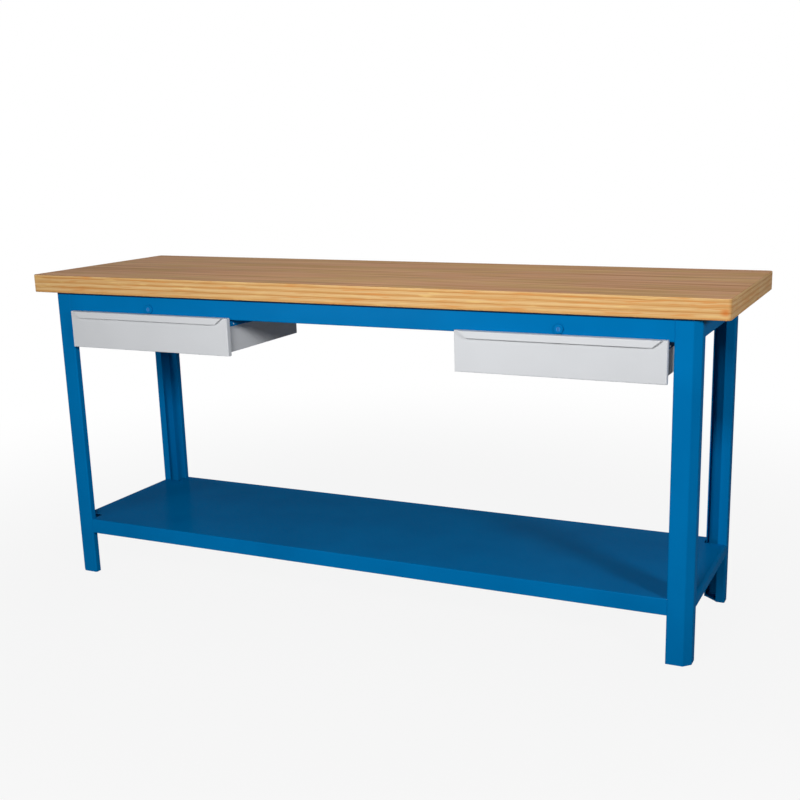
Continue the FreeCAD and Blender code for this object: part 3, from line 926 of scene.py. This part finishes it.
@dataclass
class Shelf:
    """The folded bottom shelf with the hat section spot-welded beneath it."""

    spot: SpotWeld = field(default_factory=lambda: SpotWeld(diameter=6.0, depth=0.25))
    spot_pitch: float = 120.0
    end_margin: float = 40.0
    foot_middle: float = 9.0
    hat_sheet: float = 1.2
    notch: float = 2.0
    leg_gap: float = 0.2
    seam_end: float = 2.5
    bead: WeldBead = field(default_factory=lambda: WeldBead(radius=1.7, ripple=2.8))

    def build(self, finishes: Finishes) -> None:
        """Dress the shelf and mark its spot welds."""
        dress(["bottom_shelf", "shelf_stiffener"], finishes.blue)
        spots = repeated("shelf_spot_welds", self.spot.model(), self.spot_places())
        finish_piece(spots, Body.FRAME, finishes.blue)
        welds = joined("shelf_welds", self.lip_welds())
        finish_piece(welds, Body.FRAME, finishes.blue)

    def lip_welds(self) -> list[Piece]:
        """Return the upright beads in the notches between the shelf's long lips and the legs."""
        low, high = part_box("bottom_shelf")
        beads = []
        for side, inward in (("left", 1), ("right", -1)):
            leg_low, leg_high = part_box(f"front_{side}_leg")
            x = (leg_high.x if inward > 0 else leg_low.x) + inward * self.leg_gap * MM
            for y in (low.y + self.notch * MM, high.y - self.notch * MM):
                start = Vector((x, y, low.z + self.seam_end * MM))
                stop = Vector((x, y, high.z - self.seam_end * MM))
                beads.append(self.bead.between("lip_weld", start, stop))
        return beads

    def spot_places(self) -> list[Vector]:
        """Return the spot welds' places along both feet of the hat section, underneath."""
        low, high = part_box("shelf_stiffener")
        reach = high.x - self.end_margin * MM
        count = 2 * round(reach / (self.spot_pitch * MM)) + 1
        row = [-reach + i * 2 * reach / (count - 1) for i in range(count)]
        edges = (low.y + self.foot_middle * MM, high.y - self.foot_middle * MM)
        z = high.z - self.hat_sheet * MM - self.spot.depth * MM / 2
        return [Vector((x, y, z)) for x in row for y in edges]


@dataclass
class Drawer:
    """One drawer: folded front with pull lip, box, inner plate and lock catch."""

    hand: Hand
    spot: SpotWeld = field(default_factory=lambda: SpotWeld(diameter=5.0, depth=0.2))
    spot_count: int = 5
    spot_margin: float = 32.0
    spot_rows: tuple[float, float] = (8.0, 20.0)

    @property
    def body(self) -> Body:
        """Return the body that the drawer moves with."""
        return Body(self.node("drawer"))

    def node(self, part: str) -> str:
        """Return the full name of one of this drawer's nodes."""
        return f"{self.hand.value}_{part}"

    def build(self, finishes: Finishes) -> None:
        """Dress the drawer and mark the spot welds that hold its slide rails."""
        sheets = ("drawer_front", "drawer_inner_plate", "drawer_box")
        dress([self.node(part) for part in sheets], finishes.grey)
        dress([self.node("lock_catch")], finishes.zinc)
        low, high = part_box(self.node("drawer_box"))
        marks = []
        for outward, side in ((-1, low.x), (1, high.x)):
            x = side + outward * self.spot.depth * MM / 2
            places = self.spot_places(x, low.y, high.y, high.z)
            turn = turn_to(Vector((-outward, 0, 0)))
            marks.append(repeated("side_spots", self.spot.model(), places, turn))
        spots = joined(self.node("drawer_spot_welds"), marks)
        finish_piece(spots, self.body, finishes.grey)

    def spot_places(self, x: float, front: float, back: float, top: float) -> list[Vector]:
        """Return the places of one side's spot welds.

        Args:
            x: Where the marks' middle plane lies.
            front: The side's front end.
            back: The side's rear end.
            top: The side's top edge.

        Returns:
            The places, in metres.
        """
        margin = self.spot_margin * MM
        rows = [top - depth * MM for depth in self.spot_rows]
        step = (back - front - 2 * margin) / (self.spot_count - 1)
        return [Vector((x, front + margin + i * step, rows[i % 2])) for i in range(self.spot_count)]


@dataclass
class Slide:
    """A drawer's two roller slides: blue fixed channels and hangers, zinc rails, nylon rollers."""

    hand: Hand

    def build(self, finishes: Finishes) -> None:
        """Dress the slides."""
        word = self.hand.value
        self.dress_sides(("channel", "channel_hangers"), finishes.blue)
        self.dress_sides(("slide_rail",), finishes.zinc)
        self.dress_sides(("front_roller", "rear_roller"), finishes.nylon)
        dress([f"{word}_front_roller_pins", f"{word}_rear_roller_pins"], finishes.zinc)

    def dress_sides(self, parts: tuple[str, ...], material: Material) -> None:
        """Give the parts that both of the drawer's sides have their finish.

        Args:
            parts: Last words of the nodes' names.
            material: The finish.
        """
        word = self.hand.value
        dress([f"{word}_{side}_{part}" for side in ("outer", "inner") for part in parts], material)


@dataclass
class Lock:
    """One cam lock in the front rail."""

    hand: Hand

    def build(self, finishes: Finishes) -> None:
        """Dress the lock."""
        word = self.hand.value
        dress([f"{word}_lock_body"], finishes.blue)
        dress([f"{word}_lock_plug"], finishes.nickel)
        dress([f"{word}_lock_nut", f"{word}_lock_cam", f"{word}_lock_cam_screw"], finishes.zinc)


@dataclass
class Fasteners:
    """The worktop's and the hangers' wood screws."""

    def build(self, finishes: Finishes) -> None:
        """Dress the screws."""
        dress(["worktop_screws", "hanger_screws"], finishes.zinc)


# ---- studio --------------------------------------------------------------------------------------
def seen_rays(tree: Tree) -> Socket:
    """Return one for rays that show the surroundings: to the camera, in gloss or through glass.

    Args:
        tree: The floor's or the world's node tree.

    Returns:
        The socket with zero or one.
    """
    rays = add_node(tree, "ShaderNodeLightPath").outputs
    direct = maths(tree, "MAXIMUM", rays["Is Camera Ray"], rays["Is Glossy Ray"])
    return maths(tree, "MAXIMUM", direct, rays["Is Transmission Ray"])


@dataclass
class Lamp:
    """A soft box: an area lamp aimed at a point."""

    name: str
    place: Triple
    target: Triple
    size: tuple[float, float]
    power: float

    def build(self) -> None:
        """Hang the lamp."""
        data = bpy.data.lights.new(self.name, "AREA")
        data.shape = "RECTANGLE"
        data.size, data.size_y = self.size
        data.energy = self.power
        lamp = bpy.data.objects.new(self.name, data)
        bpy.context.scene.collection.objects.link(lamp)
        lamp.visible_camera = False
        way = Vector(self.target) - Vector(self.place)
        turn = way.to_track_quat("-Z", "Y").to_matrix().to_4x4()
        lamp.matrix_world = Matrix.Translation(self.place) @ turn


@dataclass
class Studio:
    """Pale floor, plain soft light and the camera."""

    floor_half: float = 14.0
    floor_colour: str = "#7A7A7A"
    floor_roughness: float = 0.9
    floor_specular: float = 0.1
    fade_range: tuple[float, float] = (0.9, 3.0)
    near_white: float = 0.9
    world_strength: float = 0.04
    camera_place: Triple = (1.4562, -2.8809, 1.2454)
    camera_turn: Triple = (75.934, 1.085, 23.814)
    focal_length: float = 52.07
    sensor_width: float = 36.0
    shift: tuple[float, float] = (-0.0560, 0.0418)

    def build(self) -> None:
        """Set up the stage."""
        bpy.context.scene.view_settings.view_transform = "Standard"
        self.lay_floor()
        self.light_world()
        for lamp in self.lamps():
            lamp.build()
        self.place_camera()

    def lamps(self) -> list[Lamp]:
        """Return the soft boxes: their places and targets in metres, sizes and watts."""
        return [
            Lamp("key_soft_box", (0.4, -2.2, 1.6), (-0.1, -0.1, 0.65), (0.6, 0.4), 32.0),
            Lamp("fill_soft_box", (-1.7, -3.7, 0.8), (0.0, -0.2, 0.6), (1.2, 0.7), 37.0),
            Lamp("side_soft_box", (3.1, -1.8, 1.55), (0.2, -0.1, 0.6), (0.5, 0.4), 39.0),
            Lamp("rear_soft_box", (-0.3, 4.0, 0.5), (0.0, 0.3, 0.5), (1.6, 0.7), 32.0),
            Lamp("left_soft_box", (-3.6, 0.4, 0.5), (0.0, 0.1, 0.5), (0.9, 0.7), 20.0),
            Lamp("overhead_soft_box", (0.3, 0.3, 3.2), (0.2, 0.1, 0.9), (2.4, 0.4), 35.0),
        ]

    def lay_floor(self) -> None:
        """Lay a pale floor that fades to white far from the bench."""
        bpy.ops.mesh.primitive_plane_add(size=2 * self.floor_half)
        floor = named_active("studio_floor")
        material, tree, shader = new_material("pale_floor")
        shader.inputs["Base Color"].default_value = linear(self.floor_colour)
        shader.inputs["Roughness"].default_value = self.floor_roughness
        shader.inputs["Specular IOR Level"].default_value = self.floor_specular
        away = vector_maths(tree, "LENGTH", stretched_place(tree, even(1.0 / MM)))
        fade = measured(tree, away.outputs["Value"], *self.fade_range, self.near_white)
        white = add_node(tree, "ShaderNodeEmission", values={"Strength": 1.0})
        seen = maths(tree, "MULTIPLY", fade, seen_rays(tree))
        sides = {0: seen, 1: shader.outputs["BSDF"], 2: white.outputs["Emission"]}
        blend = add_node(tree, "ShaderNodeMixShader", links=sides)
        output = next(node for node in tree.nodes if node.type == "OUTPUT_MATERIAL")
        tree.links.new(blend.outputs["Shader"], output.inputs["Surface"])
        floor.data.materials.append(material)

    def light_world(self) -> None:
        """Light the world softly, and show it white behind the bench and in its gloss."""
        world = bpy.data.worlds.new("studio_world")
        bpy.context.scene.world = world
        world.use_nodes = True
        tree = world.node_tree
        tree.nodes.clear()
        strength = add_node(tree, "ShaderNodeMapRange",
                            values={"To Min": self.world_strength, "To Max": 1.0},
                            links={"Value": seen_rays(tree)})
        sky = add_node(tree, "ShaderNodeBackground", values={"Color": (1.0, 1.0, 1.0, 1.0)},
                       links={"Strength": strength.outputs["Result"]})
        add_node(tree, "ShaderNodeOutputWorld", links={"Surface": sky.outputs["Background"]})

    def place_camera(self) -> None:
        """Stand the camera before the bench's right end."""
        data = bpy.data.cameras.new("camera")
        data.lens = self.focal_length
        data.sensor_width = self.sensor_width
        data.shift_x, data.shift_y = self.shift
        camera = bpy.data.objects.new("camera", data)
        camera.location = self.camera_place
        camera.rotation_euler = [math.radians(angle) for angle in self.camera_turn]
        bpy.context.scene.collection.objects.link(camera)
        bpy.context.scene.camera = camera


def main() -> None:
    """Build and dress the bench, then the studio round it."""
    logging.basicConfig(level=logging.INFO, format="%(name)s %(message)s")
    finishes = Finishes.mixed_for_bench()
    parts = [Worktop(), SteelFrame(), Shelf(), Fasteners()]
    for hand in Hand:
        parts += [Drawer(hand), Slide(hand), Lock(hand)]
    for part in parts:
        part.build(finishes)
    Studio().build()


if __name__ == "__main__":
    main()
